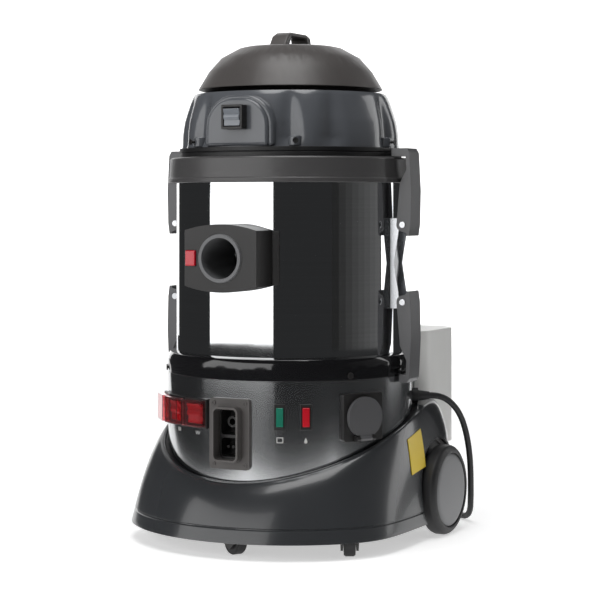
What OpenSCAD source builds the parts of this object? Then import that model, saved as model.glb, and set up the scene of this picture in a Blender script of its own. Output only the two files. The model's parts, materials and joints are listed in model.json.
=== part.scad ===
// Steam and wet-vacuum carpet cleaner, in millimetres.
// X points to the machine's right-hand side as seen from its front, -Y is the front, +Z is up.
// The drum's upright axis stands at x = 0, y = axis_y. The origin is on the floor, in the middle of the box.

/* [Drum] */
// Outer radius of the steel drum
drum_r = 148; // [138:1:152]
// Height of the drum's lower edge
drum_low = 238; // [232:1:244]
// Height of the drum between the ring and the rim band
drum_h = 215; // [200:1:300]
// Thickness of the drum's sheet
drum_wall = 1.2; // [0.8:0.1:2]

/* [Suction head] */
// Radius of the rim band where it meets the drum
rim_r = 158.7; // [157:0.1:170]
// Height of the rim band
rim_h = 32; // [26:1:50]
// Outer radius of the motor housing at its foot
motor_r = 141; // [135:1:143]
// Height of the motor housing above the seal
motor_h = 70; // [60:1:90]
// Outer radius of the top cover
cover_r = 120; // [110:1:124]
// Height of the top cover
cover_h = 56; // [44:1:70]
// Wall of the moulded covers
cover_wall = 3; // [2:0.5:4]
// Length of the carrying handle
handle_l = 76; // [70:1:100]
// Width of the carrying handle
handle_w = 24; // [18:1:34]

/* [Inlet] */
// Radius of the suction hose socket
inlet_r = 25; // [20:0.5:27]
// Height of the inlet's centre
inlet_z = 360; // [345:1:375]
// How far the inlet's face stands in front of the drum
inlet_out = 36; // [30:1:50]

/* [Lower body] */
// Outer radius of the boiler housing
housing_r = 158.5; // [156:0.5:164]
// Thickness of the housing's sheet
housing_wall = 1.5; // [1:0.1:3]
// Height of the housing's upper edge
housing_top = 210.5; // [205:0.5:225]
// Height of the switch row's centre
switch_z = 167; // [162:1:172]

/* [Base] */
// Radius of the base at the front, on its lower edge
base_r = 208; // [200:1:230]
// Half width of the base at the wheels
base_half_w = 184; // [180:1:190]
// Distance from the drum's axis to the base's rear edge
base_rear = 185; // [182:1:200]
// Height of the base's lower edge above the floor
base_low = 20; // [17:1:23]
// Wall of the base shell
base_wall = 4; // [3:0.5:5]

/* [Wheels] */
// Radius of the rear wheels
wheel_r = 57.5; // [48:0.5:60]
// Width of the rear wheels
wheel_w = 25; // [20:1:28]
// Half of the width over both rear wheels
wheel_out = 194; // [192:1:205]
// Distance of the rear axle behind the drum's axis
axle_y = 79; // [72:1:84]
// Radius of the small casters' wheels
caster_r = 17; // [14:0.5:18]

/* [Tank] */
// Half width of the water tank
tank_half_w = 142; // [110:1:146]
// Distance from the drum's axis to the tank's rear face
tank_rear = 228; // [220:1:260]
// Height of the shelf that the tank stands on
tank_low = 104; // [95:1:110]
// Height of the tank
tank_h = 154; // [110:1:170]

/* [Hidden] */
$fn = 96;
eps = 0.01;
// half of the difference between the rear and the front reach, so that the box is centred on the origin
axis_y = (base_r - tank_rear) / 2;

// heights that follow one another up the machine
drum_top = drum_low + drum_h;
rim_top = drum_top + rim_h;
seal_h = 12;
motor_low = rim_top + seal_h;
motor_top = motor_low + motor_h;
cover_low = motor_top + 6;
cover_top = cover_low + cover_h;

// latches: their pivots stand out from the drum's sides
pivot_out = 18;
pivot_x = drum_r + pivot_out;
pivot_pin_r = 2.5;
run_gap = 0.05;
latch_half = 15;
latch_wall = 1.3;
cheek_out = 13.2;
cheek_t = 1.2;
upper_pivot_z = rim_top - 85;
lower_pivot_z = drum_low + 65;

// rockers and their openings
rocker_tilt = 7;
rocker_pitch = 15.2;
rocker_mid = -34;
lamp_angles = [23, 34.4];
outlet_angle = 61;
outlet_half = 29;
lid_r = 25;
gland_angle = 118;
gland_z = 177;
gland_reach = 22;
screw_ring = [-125, -55, 55, 125];
boss_screws = [-150, -90, -30, 30, 90, 150];

// wheels and casters
wheel_gap = 8;
well_r = wheel_r + wheel_gap;
well_in = wheel_out - wheel_w - 5;
axle_r = 6;
// each caster: its pin's place and the way its wheel trails at rest
caster_spots = [[0, -160, -30], [134, -102, -62], [-134, -102, 114]];
caster_trail = 14;

// floor pan under the housing
floor_z = 40;
pan_t = 4;
floor_r = 188;
floor_half = 170;

// tank cap
cap_at = [70, 196];
neck_r = 17;

// cord
cord_r = 4;
coil_r = 52;
coil_half = 12;
coil_h = 32;
coil_at = [-30, 304];
plug_len = 58;
// the cord's route around the drum's axis: gland, over the shoulder, down behind the wheel, to the coil
cord_route = [
    [163, 87, 177], [170, 93, 175.5], [177, 101, 171], [183, 111, 162], [187, 122, 149], [189, 132, 133],
    [190, 140, 115], [190, 147, 95], [189, 153, 74], [187, 159, 53], [184, 166, 33], [179, 175, 16],
    [170, 186, 7], [157, 198, 4.3], [140, 210, 4.1], [120, 221, 4.1], [98, 230, 4.1], [74, 238, 4.1],
    [52, 246, 4.1], [36, 258, 4.1], [27, 274, 4.1], [25, 290, 4.1], [22, 304, 4.1]
];

// ---------- helpers ----------

// everything is drawn around the drum's axis and then set on the origin
module on_axis() { translate([0, axis_y, 0]) children(); }

// a place on the round body: angle from the front towards +X, distance from the axis, height;
// there local -Y points outwards
module around(angle, r, z) { rotate([0, 0, angle]) translate([0, -r, z]) children(); }

// a flat-sided block on the round body: w across, d deep inwards from its face, h high
module block_at(angle, face_r, z, w, d, h) {
    around(angle, face_r, z) translate([-w / 2, 0, -h / 2]) cube([w, d, h]);
}

// a tube between two radii and two heights
module tube(r_out, r_in, low, high) {
    translate([0, 0, low]) difference() {
        cylinder(r = r_out, h = high - low);
        translate([0, 0, -1]) cylinder(r = r_in, h = high - low + 2);
    }
}

// a rounded rectangle in the plane
module plate_shape(w, h, r) {
    square([w - 2 * r, h], center = true);
    square([w, h - 2 * r], center = true);
    for (x = [-1, 1], y = [-1, 1]) translate([x * (w / 2 - r), y * (h / 2 - r)]) circle(r = r);
}

// a rounded plate that stands upright on the round body, its face at face_r, d deep
module upright_plate(angle, face_r, z, w, h, r, d) {
    around(angle, face_r, z) rotate([-90, 0, 0]) linear_extrude(d) plate_shape(w, h, r);
}

// the sides of a swept solid: rings of n points each, closed along the sweep when ringed is true
function strip_faces(rings, n, ringed) = [
    for (i = [0 : rings - (ringed ? 1 : 2)], j = [0 : n - 1])
        let (a = i * n, b = ((i + 1) % rings) * n, k = (j + 1) % n)
            each [[a + j, b + j, b + k], [a + j, b + k, a + k]]
];

// ---------- suction head ----------

// the cover's outline: a steep skirt, a crease, then a flatter crown
function cover_outline(inset) = [
    [cover_r - inset, cover_low], [cover_r - 14 - inset, cover_low + 0.42 * cover_h],
    [cover_r - 30 - inset, cover_low + 0.74 * cover_h - 0.5 * inset],
    [cover_r - 53 - inset, cover_top - 2 - inset], [cover_r - 62 - inset, cover_top - inset]
];

module top_cover() {
    color("#46454a") on_axis() difference() {
        rotate_extrude() polygon(concat(cover_outline(0), [[0, cover_top], [0, cover_low]]));
        rotate_extrude() polygon(concat(
            [[cover_r - cover_wall, cover_low - 1]], cover_outline(cover_wall),
            [[0, cover_top - cover_wall], [0, cover_low - 1]]
        ));
    }
}

// the carrying handle: a low arch that a hand's fingers reach through
handle_h = 18;
grip_t = 6;
module carry_handle() {
    foot = 12;
    color("#3c3b3f") on_axis() translate([-handle_w / 2, 0, cover_top]) rotate([90, 0, 90])
        linear_extrude(handle_w) difference() {
            polygon([
                [-handle_l / 2, 0], [-handle_l / 2 + 9, handle_h * 0.72], [-handle_l / 2 + 20, handle_h],
                [handle_l / 2 - 14, handle_h], [handle_l / 2 - 4, handle_h * 0.8], [handle_l / 2, 0]
            ]);
            polygon([
                [-handle_l / 2 + foot, -1], [-handle_l / 2 + foot + 8, handle_h - grip_t],
                [handle_l / 2 - foot - 4, handle_h - grip_t], [handle_l / 2 - foot, -1]
            ]);
        }
}

function motor_outline(inset) = [
    [motor_r - inset, motor_low], [motor_r - 1 - inset, motor_low + 0.27 * motor_h],
    [motor_r - 7 - inset, motor_low + 0.66 * motor_h], [motor_r - 15.5 - inset, motor_top - inset]
];

// the switch boss in front: a flat, arched pad
boss_w = 86;
boss_face = motor_r + 3;
boss_top = motor_low + 60;
boss_depth = 24;
boss_arch = 36;
boss_arch_steps = 8;
module boss_solid(inset) {
    half = boss_w / 2 - inset;
    arch = boss_arch - inset;
    shoulder = boss_top - boss_arch;
    translate([0, -boss_face + inset + boss_depth, 0]) rotate([90, 0, 0])
        linear_extrude(boss_depth) polygon(concat(
            [[-half, motor_low + 0.5 + inset], [half, motor_low + 0.5 + inset]],
            [for (k = [0 : boss_arch_steps]) let (a = k * 90 / boss_arch_steps)
                [half - arch + arch * cos(a), shoulder + arch * sin(a)]],
            [for (k = [0 : boss_arch_steps]) let (a = 90 + k * 90 / boss_arch_steps)
                [-half + arch + arch * cos(a), shoulder + arch * sin(a)]]
        ));
}

switch_at = motor_low + 36;
frame_w = 30;
head_opening = 25;
module motor_housing() {
    color("#54575d") on_axis() difference() {
        union() {
            rotate_extrude() polygon(concat(
                motor_outline(0), [[60, motor_top], [60, motor_top - cover_wall]],
                [for (k = [3 : -1 : 0]) motor_outline(cover_wall)[k]]
            ));
            boss_solid(0);
            tube(cover_r - 8, cover_r - 14, motor_top - 1, cover_low + 4);
            for (a = boss_screws) around(a, motor_r - 5, motor_low + 0.5) cylinder(r = 9, h = 13);
        }
        boss_solid(cover_wall);
        translate([-head_opening / 2, -boss_face - 1, switch_at - head_opening / 2])
            cube([head_opening, 10, head_opening]);
    }
}

// the frame round the main switch stands proud of the boss
frame_out = 12;
module head_switch_frame() {
    color("#2b2c2f") on_axis() translate([0, -boss_face, switch_at]) difference() {
        union() {
            translate([-frame_w / 2, -frame_out, -frame_w / 2]) cube([frame_w, frame_out, frame_w]);
            translate([-head_opening / 2 + 0.2, -eps, -head_opening / 2 + 0.2])
                cube([head_opening - 0.4, 14, head_opening - 0.4]);
        }
        translate([-11.5, -frame_out - 1, -11.5]) cube([23, frame_out + 10, 23]);
    }
}

// one rocker: two faces that meet in a shallow V over a round root; it turns about local X
module rocker_solid(w, h, tilt) {
    half = h / 2;
    rotate([tilt, 0, 0]) translate([-w / 2, 0, 0]) rotate([90, 0, 90]) linear_extrude(w) {
        polygon([[-4.5, -half], [-2.2, 0], [-4.5, half], [1, half], [5, half - 6], [5, 6 - half], [1, -half]]);
        circle(r = 5);
    }
}

module head_rocker() {
    color("#8d9196") on_axis() translate([0, -boss_face - frame_out + 3.5, switch_at])
        rocker_solid(22, 21, rocker_tilt);
}

seal_r = 144;
module head_seal() {
    color("#161617") on_axis() {
        tube(seal_r, seal_r - 22, rim_top, rim_top + seal_h * 0.45);
        tube(seal_r - 1.2, seal_r - 22, rim_top + seal_h * 0.45, rim_top + seal_h * 0.55);
        tube(seal_r, seal_r - 22, rim_top + seal_h * 0.55, motor_low);
    }
}

// the rim band slips over the drum's upper edge and carries the head's floor
rim_inner = drum_r + 2;
floor_t = 4;
module head_rim() {
    color("#5d5d60") on_axis() difference() {
        rotate_extrude() polygon([
            [20, rim_top - floor_t], [rim_inner, rim_top - floor_t], [rim_inner, drum_top],
            [rim_r, drum_top], [rim_r, drum_top + 5], [rim_r - 1.5, drum_top + 7],
            [rim_r - 2.7, rim_top - 2], [rim_r - 4.5, rim_top], [20, rim_top]
        ]);
        for (a = [0 : 60 : 300]) rotate([0, 0, a]) translate([62, 0, rim_top - floor_t - 1])
            cylinder(r = 11, h = floor_t + 2);
    }
}

// the suction motor: a fan case with the motor on it, hung inside the head
motor_case_r = 78;
module vacuum_motor() {
    color("#9a9da1") on_axis() rotate_extrude() polygon([
        [0, rim_top + 1], [30, rim_top + 1], [30, motor_low - 6], [motor_case_r, motor_low - 6],
        [motor_case_r, motor_low + 22], [48, motor_low + 26], [46, motor_top - 8], [20, motor_top - 4],
        [0, motor_top - 4]
    ]);
}

// below the head's floor: a cage with the float that shuts the suction off
cage_r = 34;
cage_h = 72;
cage_low = rim_top - floor_t - cage_h;
module float_cage() {
    color("#d8d8d4") on_axis() difference() {
        union() {
            tube(cage_r, cage_r - 3, cage_low, rim_top - floor_t);
            translate([0, 0, cage_low]) cylinder(r = cage_r, h = 3);
        }
        for (a = [0 : 45 : 315]) rotate([0, 0, a]) translate([cage_r - 6, -8, cage_low + 8])
            cube([12, 16, cage_h - 22]);
    }
}

float_rise = 16;
float_r = 22;
module float_ball() {
    color("#e8e3d0") on_axis() translate([0, 0, cage_low + 3 + float_r]) sphere(r = float_r);
}

module cartridge_filter() {
    color("#dcdcd6") on_axis() difference() {
        union() {
            tube(72, 62, rim_top - floor_t - 82, rim_top - floor_t - 6);
            tube(76, 60, rim_top - floor_t - 6, rim_top - floor_t);
        }
        for (a = [0 : 12 : 348]) rotate([0, 0, a]) translate([70, -2.5, rim_top - floor_t - 80])
            cube([4, 5, 72]);
    }
}

// one pan-head screw whose head lies on a face; local -Y points outwards
module pan_screw(head_r, head_h, shank_r, shank_l) {
    rotate([90, 0, 0]) difference() {
        union() {
            cylinder(r = head_r, h = head_h);
            translate([0, 0, -shank_l]) cylinder(r = shank_r, h = shank_l);
        }
        for (turn = [0, 90]) rotate([0, 0, turn]) translate([-0.5, -head_r * 0.6, head_h - 0.8])
            cube([1, head_r * 1.2, 1]);
    }
}

ring_screw_z = drum_low - 22;
ring_r = housing_r + 1;
module case_screws() {
    color("#2a2a2c") on_axis() {
        for (a = screw_ring) around(a, ring_r, ring_screw_z) pan_screw(4, 1.6, 1.8, 8);
        for (a = boss_screws) around(a, motor_r + 7, motor_low + 7) pan_screw(3.6, 1.4, 1.6, 6);
    }
}

// ---------- drum, inlet and latches ----------

module drum() {
    color("#d9dbdd") on_axis() difference() {
        union() {
            tube(drum_r, drum_r - drum_wall, drum_low, rim_top - floor_t - 3);
            translate([0, 0, drum_low]) cylinder(r = drum_r - drum_wall / 2, h = drum_wall);
            tube(drum_r + 1.6, drum_r - drum_wall, rim_top - floor_t - 6, rim_top - floor_t - 3);
        }
        translate([0, -60, inlet_z]) rotate([90, 0, 0]) cylinder(r = inlet_r + 5.2, h = 200);
    }
}

// the inlet's flange lies on the drum, its body is a block with a barrel-curved top and foot
flange_half_angle = 22.5;
module inlet_flange() {
    color("#3a3837") on_axis() difference() {
        rotate([0, 0, 270 - flange_half_angle]) translate([0, 0, inlet_z - 33])
            rotate_extrude(angle = 2 * flange_half_angle)
                translate([drum_r + 0.1, 0]) square([3, 66]);
        translate([0, -60, inlet_z]) rotate([90, 0, 0]) cylinder(r = inlet_r + 5.2, h = 200);
    }
}

body_half_w = 50;
barrel_r = 170;
inlet_face = drum_r + inlet_out;
module inlet_body() {
    color("#3f3c3b") on_axis() difference() {
        union() {
            translate([0, 0, inlet_z]) rotate([90, 0, 0]) linear_extrude(inlet_face) intersection() {
                square([2 * body_half_w, 90], center = true);
                translate([0, -barrel_r + 41.5]) circle(r = barrel_r);
                translate([0, barrel_r - 41.5]) circle(r = barrel_r);
            }
        }
        cylinder(r = drum_r + 3.2, h = 600);
        translate([0, -60, inlet_z]) rotate([90, 0, 0]) cylinder(r = inlet_r + 5, h = 200);
        button_well();
    }
}

// the tube in the inlet that takes the hose's end; its rim is the pale ring on the face
module inlet_ring() {
    color("#77787a") on_axis() translate([0, -inlet_face, inlet_z]) rotate([-90, 0, 0]) difference() {
        union() {
            cylinder(r = inlet_r + 4.9, h = 80);
            translate([0, 0, -2.5]) cylinder(r = inlet_r + 4.2, h = 3);
        }
        translate([0, 0, -4]) cylinder(r = inlet_r, h = 90);
    }
}

button_x = -41;
button_w = 14;
button_h = 19;
button_out = 3;
button_travel = 4;
module button_well() {
    translate([button_x - button_w / 2 - 0.4, -inlet_face - 1, inlet_z - button_h / 2 - 0.4])
        cube([button_w + 0.8, 15, button_h + 0.8]);
}

module inlet_button() {
    color("#d8283c") on_axis()
        translate([button_x - button_w / 2, -inlet_face - button_out, inlet_z - button_h / 2])
            cube([button_w, 12, button_h]);
}

// both latches of one side stand on one steel bracket; side is 1 on the right, -1 on the left
module one_bracket(side) {
    mid = (upper_pivot_z + lower_pivot_z) / 2;
    low = lower_pivot_z - 8;
    high = upper_pivot_z + 8;
    foot = drum_r + 0.2;
    scale([side, 1, 1]) difference() {
        union() {
            translate([foot, -cheek_out, low]) cube([2, 2 * cheek_out, high - low]);
            for (y = [-cheek_out, cheek_out - cheek_t]) translate([0, y + cheek_t, 0]) rotate([90, 0, 0])
                linear_extrude(cheek_t) polygon([
                    [foot, low], [pivot_x, low], [pivot_x + 4, lower_pivot_z],
                    [pivot_x - 6, lower_pivot_z + 7], [drum_r + 5, mid], [pivot_x - 6, upper_pivot_z - 7],
                    [pivot_x + 4, upper_pivot_z], [pivot_x, high], [foot, high]
                ]);
        }
        for (z = [upper_pivot_z, lower_pivot_z]) translate([pivot_x, 50, z]) rotate([90, 0, 0])
            cylinder(r = pivot_pin_r, h = 100);
    }
}

module latch_brackets() {
    color("#c4c6c9") on_axis() for (side = [-1, 1]) one_bracket(side);
}

// pivot pins of the four latches, with their heads
module latch_rivets() {
    color("#e4e5e6") on_axis() for (side = [-1, 1], z = [upper_pivot_z, lower_pivot_z])
        translate([side * pivot_x, 0, z]) rotate([90, 0, 0]) {
            cylinder(r = pivot_pin_r, h = 2 * (latch_half + 0.2), center = true);
            for (end = [-1, 1]) translate([0, 0, end * (latch_half + 1)])
                cylinder(r = 4.2, h = 1.6, center = true);
        }
}

// a latch's side view, pointing up from its pivot at [0, 0]; x is outwards from the drum.
// reach is the height of its nose's underside over the pivot, nose_x how far the nose reaches inwards
function latch_strip(reach, out) = [
    [out, -14], [out + 4, -14], [out + 6, 0], [out + 7, reach * 0.5], [out + 4.5, reach + 4],
    [out + 1, reach + 10]
];
module latch_solid(reach, nose_x) {
    out = 5;
    difference() {
        union() {
            translate([0, latch_half, 0]) rotate([90, 0, 0]) linear_extrude(2 * latch_half) {
                polygon(concat(latch_strip(reach, out), [
                    [nose_x, reach + 10], [nose_x, reach], [out - 1, reach], [out + 1.5, reach * 0.5]
                ]));
                circle(r = 8.5);
                polygon([[0, -8.5], [out + 3, -12], [out + 5, 0], [out + 4, reach * 0.9],
                    [-4, reach * 0.6], [-8.5, 0]]);
            }
        }
        translate([-30, -latch_half + latch_wall, -30])
            cube([30 + out + 1.5, 2 * (latch_half - latch_wall), 30 + reach - 6]);
        rotate([90, 0, 0]) cylinder(r = pivot_pin_r + run_gap, h = 60, center = true);
    }
}

upper_reach = rim_top + 1 - upper_pivot_z;
lower_reach = lower_pivot_z - (housing_top + 3) + 1;
module upper_latch(side) {
    on_axis() scale([side, 1, 1]) translate([pivot_x, 0, upper_pivot_z])
        latch_solid(upper_reach, rim_r - 8 - pivot_x);
}
module lower_latch(side) {
    on_axis() scale([side, 1, -1]) translate([pivot_x, 0, -lower_pivot_z])
        latch_solid(lower_reach, ring_r + 1.5 - pivot_x);
}
module latch_upper_right() { color("#6b6c6f") upper_latch(1); }
module latch_upper_left() { color("#6b6c6f") upper_latch(-1); }
module latch_lower_right() { color("#6b6c6f") lower_latch(1); }
module latch_lower_left() { color("#6b6c6f") lower_latch(-1); }

// ---------- lower body ----------

keeper_z = housing_top + 3;
module drum_ring() {
    color("#17171a") on_axis() {
        rotate_extrude() polygon([
            [drum_r - 14, drum_low - 3], [drum_r - 14, drum_low], [drum_r + 0.6, drum_low],
            [drum_r + 8, drum_low - 2], [ring_r - 1, drum_low - 6], [ring_r, drum_low - 10],
            [ring_r - 1, housing_top], [housing_r - 8, housing_top], [housing_r - 8, drum_low - 8],
            [drum_r - 10, drum_low - 3]
        ]);
        for (side = [-1, 1]) scale([side, 1, 1]) difference() {
            translate([ring_r - 3, -11, keeper_z]) cube([9, 22, 4]);
            cylinder(r = ring_r - 2, h = 400);
        }
    }
}

housing_low = wheel_r + axle_r + 3;
socket_angle = 0;
socket_z = 145;
socket_w = 56;
socket_h = 87;
collar_w = 36;
collar_h = 67;
collar_out = 12;
lamp_w = 14;
lamp_h = 31.5;
panel_h = 36.6;
rocker_open = 29;
outlet_z = 165;
core_r = 21.5;

// every opening in the housing's wall is cut with this gap round the piece that goes through it
fit_gap = 0.3;
module housing_cuts() {
    upright_cut(socket_angle, socket_z, collar_w - 2, collar_h - 2);
    for (i = [0 : 2]) upright_cut(rocker_angle(i), switch_z, rocker_open, rocker_open);
    for (a = lamp_angles) upright_cut(a, switch_z, lamp_w - 3, lamp_h - 5);
    around(outlet_angle, housing_r + 20, outlet_z) rotate([-90, 0, 0]) cylinder(r = core_r + fit_gap, h = 50);
    around(gland_angle, housing_r + 20, gland_z) rotate([-90, 0, 0]) cylinder(r = 7 + fit_gap, h = 50);
}
module upright_cut(angle, z, w, h) {
    block_at(angle, housing_r + 20, z, w + 2 * fit_gap, 50, h + 2 * fit_gap);
}
function rocker_angle(i) = rocker_mid + (1 - i) * rocker_pitch;

module boiler_housing() {
    color("#b9bcc0") on_axis() difference() {
        union() {
            tube(housing_r, housing_r - housing_wall, housing_low, housing_top - fit_gap);
            tube(housing_r - 1, housing_r - 12, housing_low, housing_low + 2);
        }
        housing_cuts();
    }
}

// the switch row: three square frames side by side, each with its box behind it
panel_face = housing_r + 4;
frame_pitch_w = 40.5;
module switch_panel() {
    color("#1b1b1d") on_axis() difference() {
        union() for (i = [0 : 2]) {
            block_at(rocker_angle(i), panel_face, switch_z, frame_pitch_w, 4.6, panel_h);
            block_at(rocker_angle(i), panel_face - 1, switch_z, rocker_open, 16, rocker_open);
        }
        for (i = [0 : 2]) block_at(rocker_angle(i), panel_face + 1, switch_z, 26, 14, 26);
        cylinder(r = housing_r - housing_wall - 14, h = 400);
        difference() {
            cylinder(r = housing_r, h = 400);
            for (i = [0 : 2]) block_at(rocker_angle(i), panel_face, switch_z, rocker_open, 40, rocker_open);
        }
    }
}

module panel_rocker(i) {
    color("#e0182c") on_axis() around(rocker_angle(i), panel_face - 2, switch_z)
        rocker_solid(25, 24.5, rocker_tilt);
}
module rocker_1() { panel_rocker(0); }
module rocker_2() { panel_rocker(1); }
module rocker_3() { panel_rocker(2); }

// clear splash covers over the rockers
cover_out = 9;
module switch_covers() {
    color([0.9, 0.4, 0.4, 0.5]) on_axis() for (i = [0 : 2]) difference() {
        block_at(rocker_angle(i), panel_face + cover_out, switch_z, 35, cover_out, 33);
        block_at(rocker_angle(i), panel_face + cover_out - 1, switch_z, 33, cover_out, 31);
    }
}

plate_face = housing_r + 3;
module steam_socket_plate() {
    color("#333437") on_axis() difference() {
        union() {
            upright_plate(socket_angle, plate_face, socket_z, socket_w, socket_h, 5, 8);
            upright_plate(socket_angle, plate_face + collar_out, socket_z, collar_w, collar_h, 7, collar_out + 4);
            for (x = [-1, 1], z = [-1, 1]) around(socket_angle, plate_face, socket_z)
                translate([x * (socket_w / 2 - 6), 0, z * (socket_h / 2 - 6)]) pan_screw(3, 1.2, 1.5, 3);
        }
        cylinder(r = housing_r + 0.05, h = 400);
        upright_plate(socket_angle, plate_face + 50, socket_z, collar_w - 5, collar_h - 5, 5, 100);
    }
}

// the socket's core: a deep cup with a divider, a steam nozzle above and three contact pins below
module steam_socket_core() {
    color("#101012") on_axis() {
        difference() {
            upright_plate(socket_angle, plate_face - 4, socket_z, collar_w - 5.2, collar_h - 5.2, 5, 30);
            for (half = [[14, 34], [-17, 26]])
                upright_plate(socket_angle, plate_face, socket_z + half[0], collar_w - 9, half[1] - 3, 4, 28);
        }
        around(socket_angle, plate_face - 8, socket_z + 14) rotate([-90, 0, 0]) difference() {
            cylinder(r = 7, h = 25);
            translate([0, 0, -1]) cylinder(r = 4, h = 20);
        }
        for (x = [-7, 0, 7]) around(socket_angle, plate_face - 10, socket_z - 17)
            translate([x, 0, 0]) rotate([-90, 0, 0]) cylinder(r = 2, h = 22);
    }
}

lamp_face = housing_r + 2.2;
module lamp_bezels() {
    color("#121214") on_axis() for (a = lamp_angles) difference() {
        union() {
            block_at(a, lamp_face, switch_z, lamp_w, 3, lamp_h);
            block_at(a, lamp_face - 1, switch_z, lamp_w - 3, 16, lamp_h - 5);
        }
        block_at(a, lamp_face + 1, switch_z, lamp_w - 5, 12, lamp_h - 8);
        difference() {
            cylinder(r = housing_r + 0.02, h = 400);
            block_at(a, lamp_face + 5, switch_z, lamp_w - 3, 40, lamp_h - 5);
        }
    }
}
module lamp_lens(a) {
    on_axis() block_at(a, lamp_face + 2.2, switch_z, lamp_w - 5.2, 10, lamp_h - 8.2);
}
module lamp_green() { color("#2d7d63") lamp_lens(lamp_angles[0]); }
module lamp_red() { color("#c41f2e") lamp_lens(lamp_angles[1]); }

flange_face = housing_r + 4;
hinge_drop = outlet_half - 3;
hinge_out = 4.5;
hinge_r = 3.5;
module outlet_flange() {
    color("#1d1e20") on_axis() difference() {
        union() {
            upright_plate(outlet_angle, flange_face, outlet_z, 2 * outlet_half, 2 * outlet_half, 3, 12);
            around(outlet_angle, flange_face - 1, outlet_z) rotate([-90, 0, 0]) cylinder(r = core_r, h = 36);
            around(outlet_angle, flange_face + hinge_out, outlet_z - hinge_drop) {
                for (x = [-14, 9]) translate([x, 0, 0]) rotate([0, 90, 0]) cylinder(r = hinge_r, h = 5);
                for (x = [-14, 9]) translate([x, 0, -hinge_r]) cube([5, hinge_out + 1, 2 * hinge_r]);
                rotate([0, 90, 0]) cylinder(r = 1.5, h = 24, center = true);
            }
        }
        difference() {
            cylinder(r = housing_r + 0.05, h = 400);
            around(outlet_angle, housing_r + 40, outlet_z) rotate([-90, 0, 0]) cylinder(r = core_r, h = 90);
        }
        around(outlet_angle, flange_face + 1, outlet_z) rotate([-90, 0, 0]) cylinder(r = core_r - 2.5, h = 18);
    }
}

lid_t = 5;
module outlet_lid() {
    color("#6a6b6e") on_axis() around(outlet_angle, flange_face, outlet_z) difference() {
        union() {
            translate([0, -0.6, 0]) rotate([90, 0, 0]) cylinder(r = lid_r, h = lid_t);
            translate([-8.5, -0.6 - lid_t, -hinge_drop]) cube([17, lid_t, 14]);
            translate([0, -hinge_out, -hinge_drop]) rotate([0, 90, 0])
                cylinder(r = hinge_r, h = 17, center = true);
        }
        translate([0, -hinge_out, -hinge_drop]) rotate([0, 90, 0])
            cylinder(r = 1.5 + run_gap, h = 40, center = true);
        for (x = [-20, 8.6]) translate([x, -20, -hinge_drop - 8]) cube([11.4, 40, 12.5]);
    }
}

module cable_gland() {
    color("#161617") on_axis() around(gland_angle, housing_r, gland_z) rotate([90, 0, 0]) difference() {
        union() {
            translate([0, 0, -10]) cylinder(r = 7, h = 12);
            cylinder(r = 10, h = 7);
            cylinder(r1 = 8, r2 = 5, h = gland_reach);
        }
        translate([0, 0, -11]) cylinder(r = cord_r, h = 60);
    }
}

// inside the housing: an upright boiler and the pump that feeds it
module boiler() {
    color("#b0b2b5") on_axis() translate([20, 30, 0]) rotate_extrude() polygon([
        [0, 72], [60, 72], [78, 84], [78, 182], [60, 196], [12, 196], [12, 204], [0, 204]
    ]);
}
module water_pump() {
    color("#8f9296") on_axis() translate([-105, 20, 78]) {
        cylinder(r = 22, h = 60);
        translate([0, 0, 60]) cylinder(r = 12, h = 30);
        translate([-24, -24, -6]) cube([48, 48, 6]);
    }
}

// ---------- base ----------

// The base is a swept shell: at each angle from the front, a wall rises from the lower edge to a lip.
// The lip climbs from front to rear along this curve of y.
function lip_z(y) = 141.1 + 0.278 * y - 0.0006 * y * y;
lip_r = housing_r + 3.5;
crest_r = lip_r + 3.5;
crest_rise = 8;
columns = 72;
rows = 8;

// plan outline of the lower edge: round in front, straight sides, rounded rear corners
function front_reach(a) = pow(pow(1 / base_r, 20) + pow(abs(sin(a)) / base_half_w, 20), -1 / 20);
side_reach = front_reach(90);
function rear_reach(a) = pow(pow(abs(sin(a)) / side_reach, 5) + pow(abs(cos(a)) / base_rear, 5), -1 / 5);
function edge_reach(a) = cos(a) >= 0 ? front_reach(a) : rear_reach(a);

// how fast the wall falls away from the lip: slack in front and at the sides, square at the rear corners
function behind(a) = max(0, min(1, (acos(cos(a)) - 90) / 40));
function fullness(a) = 0.55 - 0.35 * behind(a) * behind(a) * (3 - 2 * behind(a));

function wall_r(a, t, inset) =
    crest_r + (edge_reach(a) - crest_r) * pow(1 - t, fullness(a)) - inset * (1 - 0.6 * pow(t, 6));
function crest_z(a) = lip_z(-crest_r * cos(a)) + crest_rise;
function wall_z(a, t, inset) = base_low + (crest_z(a) - base_low) * t - inset * pow(t, 3);
function spot(a, r, z) = [r * sin(a), -r * cos(a), z];

// the wall's section at one angle: up the outside, over the lip and down the inside
function wall_section(a) = concat(
    [for (i = [0 : rows]) let (t = 1 - pow(1 - i / rows, 1.6)) spot(a, wall_r(a, t, 0), wall_z(a, t, 0))],
    [spot(a, lip_r + 1, crest_z(a) - 1), spot(a, lip_r, crest_z(a) - 3),
        spot(a, lip_r, crest_z(a) - crest_rise - 6)],
    [for (i = [rows - 2 : -1 : 0]) let (t = (1 - pow(1 - i / rows, 1.6)))
        spot(a, max(lip_r + 1, wall_r(a, t, base_wall)), wall_z(a, t, base_wall))]
);
module wall_sweep() {
    points_each = 2 * rows + 3;
    polyhedron(
        points = [for (i = [0 : columns - 1]) each wall_section(-i * 360 / columns)],
        faces = strip_faces(columns, points_each, true)
    );
}

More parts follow.
